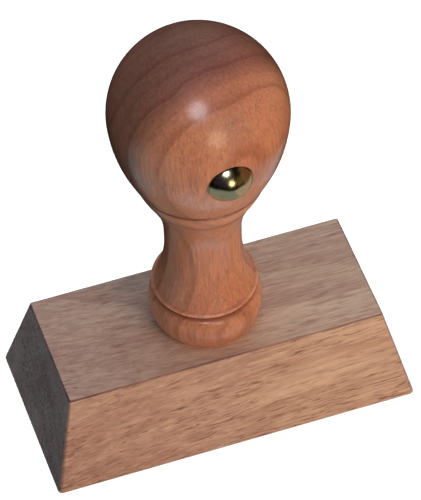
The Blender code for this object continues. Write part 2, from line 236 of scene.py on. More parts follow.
def boolean(piece, other, operation="DIFFERENCE"):
    """Cut or join for good, and remove the other object."""
    step = piece.modifiers.new("boolean", "BOOLEAN")
    step.operation = operation
    step.solver = "EXACT"
    step.object = other
    settle(piece)
    bpy.data.objects.remove(other, do_unlink=True)
    return piece


def keep_flats_flat(piece):
    """Shade the flat faces evenly, so that only the narrow rounded edges bend the light."""
    step = piece.modifiers.new("flat_normals", "WEIGHTED_NORMAL")
    step.weight = 100
    step.keep_sharp = True
    return settle(piece)


def arc(centre, radius, start, end, steps):
    """Points on an arc, both ends included."""
    points = []
    for i in range(steps + 1):
        angle = start + (end - start) * i / steps
        points.append((centre[0] + radius * cos(angle), centre[1] + radius * sin(angle)))
    return points


def turned(outline, segments):
    """Spin an outline of (r, z) points about Z into a closed body."""
    spun = bmesh.new()
    corners = [spun.verts.new((r, 0.0, z)) for r, z in outline]
    edges = [spun.edges.new(pair) for pair in zip(corners, corners[1:])]
    bmesh.ops.spin(
        spun, geom=corners + edges, cent=(0, 0, 0), axis=(0, 0, 1),
        angle=2 * pi, steps=segments, use_merge=True)
    bmesh.ops.remove_doubles(spun, verts=spun.verts, dist=MERGE_DISTANCE)
    return spun


def loft(outlines):
    """Close a body between outlines of equal length, given as (points, z) from one end to the other."""
    body = bmesh.new()
    loops = [[body.verts.new((x, y, z)) for x, y in points] for points, z in outlines]
    count = len(loops[0])
    for low, high in zip(loops, loops[1:]):
        for k in range(count):
            after = (k + 1) % count
            body.faces.new((low[k], low[after], high[after], high[k]))
    body.faces.new(loops[0])
    body.faces.new(loops[-1])
    return body


def rounded_rectangle(length, depth, corner, steps=8):
    """Outline of a rectangle about the origin, with round corners."""
    points = []
    for turn, (sx, sy) in enumerate(((1, 1), (-1, 1), (-1, -1), (1, -1))):
        centre = (sx * (length / 2 - corner), sy * (depth / 2 - corner))
        start = turn * pi / 2
        points += arc(centre, corner, start, start + pi / 2, steps)
    return points


# ---------------------------------------------------------------- node helpers

def new_material(name):
    """An empty material with its shader and output joined."""
    finish = bpy.data.materials.new(name)
    finish.use_nodes = True
    tree = finish.node_tree
    tree.nodes.clear()
    output = tree.nodes.new("ShaderNodeOutputMaterial")
    shader = tree.nodes.new("ShaderNodeBsdfPrincipled")
    tree.links.new(shader.outputs["BSDF"], output.inputs["Surface"])
    return finish, tree, shader


def add(tree, kind, sockets=None, **settings):
    """Add a node; a socket's value is a number, a tuple or another node's output."""
    made = tree.nodes.new("ShaderNode" + kind)
    for name, value in settings.items():
        setattr(made, name, value)
    for key, value in (sockets or {}).items():
        if isinstance(value, bpy.types.NodeSocket):
            tree.links.new(value, made.inputs[key])
        else:
            made.inputs[key].default_value = value
    return made


def calc(tree, operation, a, b=0.0, c=0.0):
    """A Math node's result."""
    return add(tree, "Math", {0: a, 1: b, 2: c}, operation=operation).outputs[0]


def vector_calc(tree, operation, a, b=(0, 0, 0)):
    """A Vector Math node's vector."""
    return add(tree, "VectorMath", {0: a, 1: b}, operation=operation).outputs["Vector"]


def remap(tree, value, low, high, to_low=0.0, to_high=1.0):
    """Smoothly map a range to another."""
    return add(
        tree, "MapRange",
        {"Value": value, "From Min": low, "From Max": high, "To Min": to_low, "To Max": to_high},
        interpolation_type="SMOOTHSTEP").outputs["Result"]


def blend_colour(tree, factor, a, b, how="MIX"):
    """Mix two colours."""
    mixed = add(tree, "Mix", {0: factor, 6: a, 7: b}, data_type="RGBA", blend_type=how)
    return mixed.outputs[2]


def noise(tree, where, scale=1.0, detail=3.0, roughness=0.5):
    """A noise texture's value, about 0.5 on average."""
    made = add(tree, "TexNoise", {"Vector": where, "Scale": scale, "Detail": detail, "Roughness": roughness})
    return made.outputs[0]


def stretch(tree, where, size):
    """Coordinates whose cells measure size (x, y, z) in metres."""
    return vector_calc(tree, "MULTIPLY", where, tuple(1 / s for s in size))


def rgb(red, green, blue):
    """A colour given as linear red, green and blue."""
    return (red, green, blue, 1.0)


def object_place(tree):
    """Coordinates on the object, in metres."""
    return add(tree, "TexCoord").outputs["Object"]


def join_surface(tree, shader, colour, rough, height, relief):
    """Join a colour, a roughness and a bump height to the shader; relief is the bump's depth."""
    tree.links.new(colour, shader.inputs["Base Color"])
    tree.links.new(rough, shader.inputs["Roughness"])
    bump = add(tree, "Bump", {"Height": height, "Distance": relief, "Strength": 1.0})
    tree.links.new(bump.outputs[0], shader.inputs["Normal"])


# ---------------------------------------------------------------- wood

# Sizes of the wood's patterns, along the grain and twice across it
SWAY_CELL = (45 * MM, 14 * MM, 14 * MM)
CLOUD_CELL = (50 * MM, 9 * MM, 9 * MM)
PATCH_CELL = (20 * MM, 6 * MM, 6 * MM)
STREAK_CELL = (13 * MM, 0.6 * MM, 0.6 * MM)
DASH_CELL = (9 * MM, 0.5 * MM, 0.5 * MM)
FIBRE_CELL = (5 * MM, 0.22 * MM, 0.22 * MM)
WOBBLE_CELL = (5 * MM, 1.4 * MM, 1.4 * MM)
# How far the growth rings sway in and out, and the flecks wobble off the grain
SWAY = 5 * MM
WOBBLE = 0.9 * MM


def grain_frame(tree, grain, pith, bow):
    """Object coordinates turned so that X runs along the bending grain, measured from the pith."""
    moved = vector_calc(tree, "SUBTRACT", object_place(tree), pith)
    turn = tuple(Vector(grain).rotation_difference(Vector((1, 0, 0))).to_euler())
    local = add(tree, "VectorRotate", {"Vector": moved, "Rotation": turn}, rotation_type="EULER_XYZ")
    local = local.outputs[0]
    along = add(tree, "SeparateXYZ", {0: local}).outputs["X"]
    square = calc(tree, "MULTIPLY", along, along)
    bend = add(tree, "VectorMath", {0: bow, "Scale": square}, operation="SCALE").outputs["Vector"]
    return along, vector_calc(tree, "SUBTRACT", local, bend)


def growth_rings(tree, local, ring):
    """Distance from the pith, a random number for each year, and the share of its dark late wood."""
    sway = noise(tree, stretch(tree, local, SWAY_CELL), detail=2)
    sway = calc(tree, "MULTIPLY", calc(tree, "SUBTRACT", sway, 0.5), SWAY)
    across = vector_calc(tree, "MULTIPLY", local, (0, 1, 1))
    distance = add(tree, "VectorMath", {0: across}, operation="LENGTH").outputs["Value"]
    distance = calc(tree, "ADD", distance, sway)
    turns = calc(tree, "DIVIDE", distance, ring)
    phase = calc(tree, "FRACT", turns)
    late = calc(tree, "MULTIPLY", remap(tree, phase, 0.5, 0.9), remap(tree, phase, 1.0, 0.9))
    year = add(tree, "TexWhiteNoise", {"W": calc(tree, "FLOOR", turns)}, noise_dimensions="1D").outputs[0]
    late = calc(tree, "MULTIPLY", late, remap(tree, year, 0.0, 1.0, 0.25, 1.0))
    return distance, year, late


def ray_marks(tree, local, patch, fleck, share):
    """Shares of the short dark ray flecks, the pale spots between them and the long dark dashes.

    fleck is (length, width, strength), and share the part of the dark marks that a face shows.
    """
    length, width, strength = fleck
    wobble = add(tree, "TexNoise", {"Vector": stretch(tree, local, WOBBLE_CELL), "Scale": 1.0})
    wobble = vector_calc(tree, "MULTIPLY", wobble.outputs[1], (0.0, WOBBLE, WOBBLE))
    swayed = vector_calc(tree, "ADD", local, wobble)
    marks = noise(tree, stretch(tree, swayed, (length, width, width)), detail=1.5)
    edge = remap(tree, patch, 0.3, 0.7, 0.66, 0.58)
    flecks = remap(tree, calc(tree, "SUBTRACT", marks, edge), -0.04, 0.11)
    flecks = calc(tree, "MULTIPLY", calc(tree, "MULTIPLY", flecks, strength), share)
    pale = remap(tree, calc(tree, "SUBTRACT", edge, marks), 0.2, 0.34)
    pale = calc(tree, "MULTIPLY", pale, 0.5 * strength)
    dashes = noise(tree, stretch(tree, swayed, DASH_CELL), detail=2.5, roughness=0.6)
    dashes = calc(tree, "MULTIPLY", remap(tree, dashes, 0.52, 0.72), share)
    return flecks, pale, dashes


def wood(name, grain, pith, bow, ring, colours, line_strength, fleck, streaks, heart, drift, end_shade,
         shine, relief, top_marks=1.0, edge_shade=None, bands=(), coat=0.0, coat_roughness=0.1):
    """Beech in the round: growth rings about the pith, fine fibres and short dark ray flecks.

    grain is the fibre direction, pith a point on the pith's line, bow how far the fibres bend away
    from it (metres per square metre along the grain), ring the growth rings' spacing.
    colours are (light, dark, ring line, fleck), line_strength how strongly the ring lines show,
    fleck (length, width, strength), streaks the strength of the long dark streaks, heart the radius
    of the darker wood near the pith, the colour that multiplies it and the height where it starts,
    drift the colour that multiplies the far end along the grain, end_shade the one that multiplies
    end grain, both for its own darker colour and as painted shade on faces across the grain, shine
    (lowest, highest roughness) and relief the bump depth. top_marks is the share of the flecks and
    streaks that faces looking up show, and edge_shade the colour of the painted shade on the
    rounded edges round the top. bands are (height, half width, colour that multiplies the wood
    there), for painted shade in the grooves and painted highlights on the bead and the lip.
    """
    finish, tree, shader = new_material(name)
    light, dark, line, fleck_colour = colours
    normal = add(tree, "TexCoord").outputs["Normal"]
    up = add(tree, "SeparateXYZ", {0: normal}).outputs["Z"]
    level = add(tree, "SeparateXYZ", {0: object_place(tree)}).outputs["Z"]
    along, local = grain_frame(tree, grain, pith, bow)
    distance, year, late = growth_rings(tree, local, ring)

    cloud = noise(tree, stretch(tree, local, CLOUD_CELL), detail=3)
    patch = noise(tree, stretch(tree, local, PATCH_CELL), detail=1)
    streak = noise(tree, stretch(tree, local, STREAK_CELL), detail=3)
    fibre = noise(tree, stretch(tree, local, FIBRE_CELL), detail=4, roughness=0.6)
    share = remap(tree, up, 0.5, 0.9, 1.0, top_marks)
    flecks, pale, dashes = ray_marks(tree, local, patch, fleck, share)
    dashes = calc(tree, "MULTIPLY", dashes, streaks)
    dashes = calc(tree, "MULTIPLY", dashes, remap(tree, patch, 0.3, 0.65, 0.5, 1.5))
    dashes = calc(tree, "MULTIPLY", dashes, remap(tree, along, -0.035, 0.015, 1.6, 0.9))

    tone = calc(tree, "ADD", calc(tree, "MULTIPLY", cloud, 0.5), calc(tree, "MULTIPLY", streak, 0.5))
    tone = calc(tree, "ADD", tone, calc(tree, "MULTIPLY", calc(tree, "SUBTRACT", year, 0.5), 0.08))
    colour = blend_colour(tree, remap(tree, tone, 0.34, 0.66), light, dark)
    colour = blend_colour(tree, calc(tree, "MULTIPLY", late, line_strength), colour, line)
    colour = blend_colour(tree, dashes, colour, line)
    shade = remap(tree, fibre, 0.3, 0.7, 0.86, 1.1)
    shade = add(tree, "CombineXYZ", {0: shade, 1: shade, 2: shade}).outputs[0]
    colour = vector_calc(tree, "MULTIPLY", colour, shade)
    colour = blend_colour(tree, pale, colour, rgb(*(1.25 * part for part in light[:3])))
    colour = blend_colour(tree, flecks, colour, fleck_colour)

    heart_radius, heart_colour, heart_start = heart
    core = remap(tree, distance, heart_radius + 1 * MM, heart_radius - 2 * MM)
    core = calc(tree, "MULTIPLY", core, remap(tree, level, heart_start, heart_start + 12 * MM))
    colour = blend_colour(tree, core, colour, heart_colour, how="MULTIPLY")
    far_end = remap(tree, along, -0.02, 0.035)
    colour = blend_colour(tree, far_end, colour, drift, how="MULTIPLY")
    # Bands across the handle: painted shade in the grooves and the vee, painted highlights on the bead and
    # the lip
    for height, half_width, band_colour in bands:
        away = calc(tree, "ABSOLUTE", calc(tree, "SUBTRACT", level, height))
        band = remap(tree, away, half_width, 0.3 * half_width)
        colour = blend_colour(tree, band, colour, band_colour, how="MULTIPLY")
    # Faces across the grain are multiplied by end_shade: the end grain's own darker colour and painted shade
    end = add(tree, "VectorMath", {0: normal, 1: Vector(grain).normalized()}, operation="DOT_PRODUCT")
    end = remap(tree, calc(tree, "ABSOLUTE", end.outputs["Value"]), 0.35, 0.98)
    colour = blend_colour(tree, end, colour, end_shade, how="MULTIPLY")
    # Painted shade on the rounded edges round the top, stronger in some patches
    if edge_shade:
        rounded = calc(tree, "MULTIPLY", remap(tree, up, 0.27, 0.4), remap(tree, up, 0.995, 0.95))
        painted_edge_shade = calc(tree, "MULTIPLY", rounded, remap(tree, patch, 0.3, 0.6, 1.0, 0.6))
        colour = blend_colour(tree, painted_edge_shade, colour, edge_shade, how="MULTIPLY")

    rough = remap(tree, fibre, 0.25, 0.75, shine[0], shine[1])
    height = calc(tree, "SUBTRACT", calc(tree, "MULTIPLY", fibre, 0.7), calc(tree, "MULTIPLY", flecks, 0.5))
    join_surface(tree, shader, colour, rough, height, relief)
    if coat:
        shader.inputs["Coat Weight"].default_value = coat
        shader.inputs["Coat Roughness"].default_value = coat_roughness
        shader.inputs["Specular IOR Level"].default_value = 0.2
    return finish


def block_beech():
    """Plain sanded beech; its grain runs a little askew to the block's length and bends along it."""
    light = rgb(0.585, 0.33, 0.22)
    dark = rgb(0.42, 0.20, 0.133)
    line = rgb(0.28, 0.105, 0.06)
    fleck_colour = rgb(0.17, 0.05, 0.028)
    return wood(
        "block_beech", grain=(1, -0.09, 0.11), pith=(0, 0.03, -0.055), bow=(0, 1.25, -1.1), ring=2.6 * MM,
        colours=(light, dark, line, fleck_colour), line_strength=0.3, fleck=(4.6 * MM, 0.33 * MM, 0.7),
        streaks=0.68, heart=(5 * MM, rgb(1, 1, 1), 0), drift=rgb(1.1, 1.17, 1.13),
        # end_shade: the end grain's darker colour and painted shade on the end faces
        end_shade=rgb(0.82, 0.98, 1.22), shine=(0.5, 0.68), relief=0.06 * MM, top_marks=0.55,
        # edge_shade: painted shade on the rounded top edges
        edge_shade=rgb(0.34, 0.2, 0.22))


def handle_beech():
    """Stained and lacquered beech; its grain stands upright and its growth rings bow to the front."""
    light = rgb(0.63, 0.235, 0.115)
    dark = rgb(0.48, 0.165, 0.08)
    line = rgb(0.33, 0.09, 0.04)
    fleck_colour = rgb(0.27, 0.07, 0.035)
    # Painted shade in the rings' grooves and the vee under the lip
    painted_groove_shade = rgb(0.5, 0.4, 0.4)
    painted_faint_groove_shade = rgb(0.66, 0.56, 0.56)
    # Painted highlights on the bead between the rings and on the lip
    painted_lip_highlight = rgb(1.25, 1.4, 1.5)
    painted_bead_highlight = rgb(1.2, 1.35, 1.45)
    return wood(
        "handle_beech", grain=(0, 0, 1), pith=(-0.0095, 0.0366, 0), bow=(0, 0, 0), ring=2.7 * MM,
        colours=(light, dark, line, fleck_colour), line_strength=0.5, fleck=(4 * MM, 0.4 * MM, 0.4),
        streaks=0.12, heart=(45.5 * MM, rgb(0.6, 0.56, 0.61), TOP_Z + 38 * MM), drift=rgb(1, 1, 1),
        # end_shade: darker end grain, partly painted shade on the ball's top and the lip
        end_shade=rgb(0.95, 0.88, 0.95), shine=(0.34, 0.46), relief=0.012 * MM,
        bands=(
            (TOP_Z + 39.9 * MM, 1.1 * MM, painted_groove_shade),
            (TOP_Z + 37.2 * MM, 2.0 * MM, painted_bead_highlight),
            (TOP_Z + 34.3 * MM, 0.7 * MM, painted_faint_groove_shade),
            (TOP_Z + 9.45 * MM, 0.5 * MM, painted_lip_highlight),
            (TOP_Z + 8.25 * MM, 0.75 * MM, painted_groove_shade)),
        coat=0.85, coat_roughness=0.19)


# ---------------------------------------------------------------- other materials

def brass():
    """Polished brass, with faint turning marks and a little tarnish."""
    finish, tree, shader = new_material("polished_brass")
    place = object_place(tree)
    patch = noise(tree, place, scale=420, detail=4)
    scratch = noise(tree, stretch(tree, place, (0.12 * MM, 2.5 * MM, 1.8 * MM)), detail=3)
    colour = blend_colour(tree, remap(tree, patch, 0.45, 0.75), rgb(0.76, 0.68, 0.40), rgb(0.58, 0.52, 0.27))
    rough = remap(tree, scratch, 0.3, 0.7, 0.14, 0.19)
    rough = calc(tree, "ADD", rough, calc(tree, "MULTIPLY", patch, 0.06))
    join_surface(tree, shader, colour, rough, scratch, 0.002 * MM)
    shader.inputs["Metallic"].default_value = 1.0
    return finish


def steel():
    """Zinc-plated steel, slightly cloudy."""
    finish, tree, shader = new_material("zinc_plated_steel")
    place = object_place(tree)
    cloud = noise(tree, place, scale=600, detail=5)
    colour = blend_colour(tree, cloud, rgb(0.52, 0.52, 0.50), rgb(0.40, 0.41, 0.40))
    join_surface(tree, shader, colour, remap(tree, cloud, 0.3, 0.7, 0.26, 0.42), cloud, 0.01 * MM)
    shader.inputs["Metallic"].default_value = 1.0
    return finish


def foam():
    """Fine-celled grey cushion foam."""
    finish, tree, shader = new_material("cushion_foam")
    place = object_place(tree)
    cells = add(tree, "TexVoronoi", {"Vector": place, "Scale": 4200.0})
    cloud = noise(tree, place, scale=500, detail=3)
    # Painted shade: the cells' hollows are darker, where the bump is lowest
    pit = remap(tree, cells.outputs["Distance"], 0.1, 0.6)
    colour = blend_colour(tree, pit, rgb(0.33, 0.33, 0.32), rgb(0.50, 0.50, 0.48))
    colour = blend_colour(tree, calc(tree, "MULTIPLY", cloud, 0.3), colour, rgb(0.62, 0.60, 0.56))
    join_surface(tree, shader, colour, remap(tree, cloud, 0.2, 0.8, 0.85, 1.0), pit, 0.08 * MM)
    return finish


def tape():
    """Off-white adhesive film."""
    finish, tree, shader = new_material("adhesive_film")
    place = object_place(tree)
    cloud = noise(tree, place, scale=300, detail=4)
    colour = blend_colour(tree, cloud, rgb(0.62, 0.58, 0.47), rgb(0.78, 0.75, 0.66))
    join_surface(tree, shader, colour, remap(tree, cloud, 0.3, 0.7, 0.3, 0.5), cloud, 0.02 * MM)
    return finish


def rubber():
    """Brick-red moulded stamp rubber, with a dusty bloom and a few ink stains."""
    finish, tree, shader = new_material("stamp_rubber")
    place = object_place(tree)
    cloud = noise(tree, place, scale=160, detail=5)
    grain = noise(tree, place, scale=3500, detail=2)
    stain = noise(tree, place, scale=95, detail=6, roughness=0.65)
    colour = blend_colour(tree, remap(tree, cloud, 0.35, 0.7), rgb(0.30, 0.085, 0.06), rgb(0.40, 0.16, 0.12))
    colour = blend_colour(tree, remap(tree, stain, 0.56, 0.66, 0.0, 0.6), colour, rgb(0.10, 0.045, 0.06))
    join_surface(tree, shader, colour, remap(tree, cloud, 0.3, 0.7, 0.55, 0.8), grain, 0.02 * MM)
    return finish


def paper_floor():
    """Plain pale floor, with the faintest unevenness."""
    finish, tree, shader = new_material("pale_floor")
    place = object_place(tree)
    cloud = noise(tree, place, scale=6, detail=2)
    colour = blend_colour(tree, cloud, rgb(0.83, 0.83, 0.83), rgb(0.86, 0.86, 0.86))
    tree.links.new(colour, shader.inputs["Base Color"])
    shader.inputs["Roughness"].default_value = 0.9
    shader.inputs["Specular IOR Level"].default_value = 0.1
    return finish


def pale_glow():
    """Even pale backdrop."""
    finish = bpy.data.materials.new("pale_backdrop")
    finish.use_nodes = True
    tree = finish.node_tree
    tree.nodes.clear()
    output = tree.nodes.new("ShaderNodeOutputMaterial")
    place = object_place(tree)
    cloud = noise(tree, place, scale=0.6, detail=2)
    colour = blend_colour(tree, cloud, rgb(0.93, 0.94, 0.96), rgb(0.97, 0.97, 0.98))
    glow = add(tree, "Emission", {"Color": colour, "Strength": 1.0})
    tree.links.new(glow.outputs[0], output.inputs["Surface"])
    return finish


# ---------------------------------------------------------------- pieces

def finish_piece(piece, material, body, slot, *nodes):
    """Give a piece its material and body, and hide the CAD nodes it stands for; slot is not used."""
    piece.data.materials.clear()
    piece.data.materials.append(material)
    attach(piece, body)
    if nodes:
        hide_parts(*nodes)
    return piece


def tack_place():
    """The tack's local +Z points out of the ball's front, and z = 0 is its seat."""
    seat = Matrix.Translation((0, -CAP_SEAT, CAP_CENTRE_Z)) @ Matrix.Rotation(radians(90), 4, "X")
    return Matrix.Rotation(CAP_TURN, 4, "Z") @ seat


def ring_offset(z):
    """How far the rings and the bead move the taper's surface outwards at a height."""
    offset = 0.0
    for height, width, depth in RINGS:
        share = min(1.0, abs(z - height) / (width / 2))
        offset -= depth * (0.5 + 0.5 * cos(pi * share))
    share = (z - BEAD_FOOT) / (BEAD_TOP - BEAD_FOOT)
    if 0 < share < 1:
        offset += BEAD_BULGE * 4 * share * (1 - share)
    return offset


def handle_outline():
    """The handle's outline from its top down, above the block's top face."""
    offset = BALL_RADIUS - FLANK_RADIUS
    flank = (offset * cos(FLANK_START), BALL_CENTRE - offset * sin(FLANK_START))
    taper = (flank[0] + FLANK_RADIUS * cos(TAPER_ANGLE), flank[1] - FLANK_RADIUS * sin(TAPER_ANGLE))
    slope = tan(TAPER_ANGLE)
    missing = slope * (taper[1] - NECK_TOP) - (taper[0] - NECK_RADIUS)
    upper = missing / (slope * sin(TAPER_ANGLE) - 1 + cos(TAPER_ANGLE))

    points = arc((0, BALL_CENTRE), BALL_RADIUS, pi / 2, -FLANK_START, BALL_STEPS)
    points[0] = (0, BALL_CENTRE + BALL_RADIUS)
    points += arc(flank, FLANK_RADIUS, -FLANK_START, -TAPER_ANGLE, FLANK_STEPS)[1:]
    for i in range(RINGED_STEPS + 1):
        z = RINGED_TOP + (RINGED_FOOT - RINGED_TOP) * i / RINGED_STEPS
        points.append((taper[0] + (z - taper[1]) * slope + ring_offset(z), z))
    points += arc((NECK_RADIUS + upper, NECK_TOP), upper, pi - TAPER_ANGLE, pi, NECK_TOP_STEPS)
    drop = NECK_FOOT - FLARE_HEIGHT
    spread = FLARE_RADIUS - NECK_RADIUS
    lower = (spread ** 2 + drop ** 2) / (2 * spread)
    points += arc(
        (NECK_RADIUS + lower, NECK_FOOT), lower, pi, pi + asin(drop / lower), NECK_FOOT_STEPS)
    points += foot_outline()
    return points


def foot_outline():
    """The flare's rounded lip, the vee under it and the barrel foot, down to the block."""
    points = arc(LIP_CENTRE, LIP_RADIUS, LIP_START, LIP_END, LIP_STEPS)
    points += VEE
    for i in range(FOOT_STEPS + 1):
        z = SHOULDER_HEIGHT * (1 - i / FOOT_STEPS)
        if z > FOOT_WIDEST_HEIGHT:
            reach = (z - FOOT_WIDEST_HEIGHT) / (SHOULDER_HEIGHT - FOOT_WIDEST_HEIGHT)
            edge = SHOULDER_RADIUS
        else:
            reach = (FOOT_WIDEST_HEIGHT - z) / FOOT_WIDEST_HEIGHT
            edge = FOOT_BASE_RADIUS
        points.append((FOOT_RADIUS - (FOOT_RADIUS - edge) * reach ** FOOT_FULLNESS, z))
    return points


def seat_cutter():
    """Close-fitting round seat for the tack, and a hole for its nail."""
    radius = CAP_RADIUS + CAP_PLAY
    outline = [
        (0, SEAT_FRONT),
        (radius, SEAT_FRONT),
        (radius, 0),
        (NAIL_HOLE_RADIUS, 0),
        (NAIL_HOLE_RADIUS, -NAIL_HOLE_DEPTH),
        (0, -NAIL_HOLE_DEPTH - NAIL_HOLE_RADIUS),
    ]
    cutter = add_object("seat_cutter", turned(outline, CAP_SEGMENTS))
    cutter.matrix_world = tack_place()
    return cutter


def make_handle():
    """One-piece turned handle, bored from below and seated for the tack."""
    bore_top = SCREW_TIP_Z + BORE_PLAY
    outline = [(r, TOP_Z + z) for r, z in handle_outline()]
    bore = [(BORE_RADIUS, TOP_Z), (BORE_RADIUS, bore_top), (0, bore_top + BORE_POINT)]
    handle = add_object("turned_handle", turned(outline + bore, HANDLE_SEGMENTS))
    boolean(handle, seat_cutter())
    smooth(handle)
    return finish_piece(handle, handle_beech(), "stamp", "lacquered_beech", "handle")


def block_levels():
    """Levels of the block from its base up: (share of the height, inset, height) with rounded edges."""
    height = BLOCK_HIGH.z - BLOCK_LOW.z
    slope = (BLOCK_BASE[1] - BLOCK_TOP[1]) / 2 / height
    lean = atan(slope)
    radius = BLOCK_EDGE
    low_inset = radius * (1 + sin(lean)) / cos(lean)
    high_inset = radius * (1 - sin(lean)) / cos(lean)
    levels = []
    for r, z in arc((0, 0), radius, -pi / 2, lean, BLOCK_EDGE_STEPS):
        rise = radius + z
        levels.append((rise / height, low_inset - r - slope * rise, rise))
    for r, z in arc((0, 0), radius, lean, pi / 2, BLOCK_EDGE_STEPS):
        rise = height - radius + z
        levels.append((rise / height, high_inset - r - slope * (rise - height), rise))
    return levels


def make_block():
    """Sloping beech block with eased edges and its screw hole."""
    outlines = []
    for share, inset, rise in block_levels():
        length, depth = (low + (high - low) * share - 2 * inset for low, high in zip(BLOCK_BASE, BLOCK_TOP))
        corner = BLOCK_BASE_CORNER + (BLOCK_TOP_CORNER - BLOCK_BASE_CORNER) * share - inset
        outlines.append((rounded_rectangle(length, depth, corner, BLOCK_EDGE_STEPS), BLOCK_LOW.z + rise))
    block = add_object("beech_block", loft(outlines))
    hole = [
        (0, BLOCK_LOW.z - OVERSHOOT),
        (HOLE_MOUTH + OVERSHOOT, BLOCK_LOW.z - OVERSHOOT),
        (BORE_RADIUS, BLOCK_LOW.z + HOLE_MOUTH - BORE_RADIUS),
        (BORE_RADIUS, BLOCK_HIGH.z + OVERSHOOT),
        (0, BLOCK_HIGH.z + OVERSHOOT),
    ]
    boolean(block, add_object("screw_hole", turned(hole, HOLE_SEGMENTS)))
    keep_flats_flat(smooth(block, 30))
    return finish_piece(block, block_beech(), "stamp", "beech", "mount_block")


def dome_outline(shrink):
    """Half the dome from its top to its rim, moved inwards by the shrink."""
    centre = [0.0, 0.0]
    points = [(0.0, CAP_ARCS[0][0] - shrink)]
    start = 0.0
    last = CAP_ARCS[0][0]
    for radius, end in CAP_ARCS:
        centre[0] -= (radius - last) * sin(start)
        centre[1] -= (radius - last) * cos(start)
        for i in range(1, CAP_STEPS + 1):
            slope = start + (end - start) * i / CAP_STEPS
            reach = radius - shrink
            points.append((centre[0] + reach * sin(slope), centre[1] + reach * cos(slope)))
        start, last = end, radius
    rim = points[-1][1]
    return [(r, z - rim + CAP_SKIRT) for r, z in points]


def make_cap():
    """Thin domed cap with a short skirt, hollow behind."""
    outer = dome_outline(0.0)
    inner = dome_outline(CAP_WALL)
    rim = outer[-1][0]
    skirt = [(rim, CAP_RIM_EASE), (rim - CAP_RIM_EASE, 0), (rim - CAP_WALL, 0)]
    cap = add_object("domed_cap", turned(outer + skirt + inner[::-1], CAP_SEGMENTS))
    cap.matrix_world = tack_place()
    smooth(cap, 50)
    return finish_piece(cap, brass(), "stamp", "brass", "tack_cap")


def layer(name, low, high, bottom, top, bulge, material, body, slot, node):
    """A flat layer between two heights, in its node's outline; the bulge moves its sides out half way."""
    length, depth = high.x - low.x, high.y - low.y
    outlines = []
    for i in range(LAYER_STEPS + 1):
        share = i / LAYER_STEPS
        grow = bulge * sin(pi * share)
        points = rounded_rectangle(length + 2 * grow, depth + 2 * grow, PAD_CORNER + grow)
        outlines.append((points, bottom + (top - bottom) * share))
    piece = add_object(name, loft(outlines))
    smooth(piece, 40)
    return finish_piece(piece, material, body, slot, node)


def make_layers():
    """Film, foam and film between the block and the die; the foam gets a mesh of its own."""
    film = tape()
    layer("upper_film", UPPER_TAPE_LOW, UPPER_TAPE_HIGH, FOAM_TOP, BLOCK_LOW.z, 0.0,
          film, "stamp", "tape", "upper_tape")
    layer("lower_film", LOWER_TAPE_LOW, LOWER_TAPE_HIGH, DIE_TOP, FOAM_BOTTOM, 0.0,
          film, "print_layer", "tape", "lower_tape")
    cushion = layer("cushion", FOAM_LOW, FOAM_HIGH, FOAM_BOTTOM, FOAM_TOP, -FOAM_HOLLOW,
                    foam(), "stamp", "foam", "foam_cushion")
    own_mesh(cushion)


def rail_outline(grow, inner):
    """One edge of the relief's frame, grown outwards or, for the inner edge, inwards."""
    length = DIE_HIGH.x - DIE_LOW.x - 2 * FRAME_MARGIN
    depth = DIE_HIGH.y - DIE_LOW.y - 2 * FRAME_MARGIN
    inset = FRAME_WIDTH + grow if inner else -grow
    return rounded_rectangle(length - 2 * inset, depth - 2 * inset, FRAME_CORNER - inset)


def flower_outline(grow):
    """A circle waved into round petals."""
    points = []
    for i in range(FLOWER_POINTS):
        angle = 2 * pi * i / FLOWER_POINTS
        wave = 1 - FLOWER_WAVE / 2 + FLOWER_WAVE / 2 * cos(FLOWER_LOBES * angle)
        radius = FLOWER_RADIUS * wave + grow
        points.append((radius * cos(angle), radius * sin(angle)))
    return points


def bar_outline(x, y, grow):
    """A ruled line with round corners, about a point."""
    outline = rounded_rectangle(RULE_LENGTH + 2 * grow, RULE_WIDTH + 2 * grow, RULE_CORNER + grow, 4)
    return [(x + px, y + py) for px, py in outline]


def shoulder(outline_of):
    """Raise an outline from the plate to the printing face, with a sloping, filleted shoulder."""
    return [
        (outline_of(spread * SHOULDER), DIE_LOW.z + level * RELIEF_HEIGHT)
        for level, spread in SHOULDER_LEVELS]


def make_die():
    """Moulded rubber plate with its printing relief, as one body."""
    length, depth = DIE_HIGH.x - DIE_LOW.x, DIE_HIGH.y - DIE_LOW.y
    plate = rounded_rectangle(length, depth, PAD_CORNER)
    eased = rounded_rectangle(length - 2 * PLATE_EASE, depth - 2 * PLATE_EASE, PAD_CORNER - PLATE_EASE)
    die = add_object("printing_die", loft([
        (eased, RELIEF_HEIGHT), (plate, RELIEF_HEIGHT + PLATE_EASE), (plate, DIE_TOP)]))
    rail = add_object("rail", loft(shoulder(lambda grow: rail_outline(grow, inner=False))))
    hollow = shoulder(lambda grow: rail_outline(grow, inner=True))
    hollow[0] = (hollow[0][0], DIE_LOW.z - OVERSHOOT)
    hollow[-1] = (hollow[-1][0], DIE_LOW.z + 2 * RELIEF_HEIGHT)
    boolean(rail, add_object("rail_hollow", loft(hollow)))
    boolean(die, rail, "UNION")
    boolean(die, add_object("flower", loft(shoulder(flower_outline))), "UNION")
    for side in (-1, 1):
        for line in (-1, 0, 1):
            x, y = side * RULE_CENTRE, line * RULE_SPACING
            bar = add_object("rule", loft(shoulder(lambda grow: bar_outline(x, y, grow))))
            boolean(die, bar, "UNION")
    smooth(die, 25)
    return finish_piece(die, rubber(), "print_layer", "rubber", "rubber_die")


def dress_hidden_steel():
    """The screw and the nail keep their CAD shapes and get a plated finish."""
    plated = steel()
    for name in ("handle_screw", "tack_nail"):
        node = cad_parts[name]
        node.data.materials.clear()
        node.data.materials.append(plated)


# ---------------------------------------------------------------- stage, lights and camera

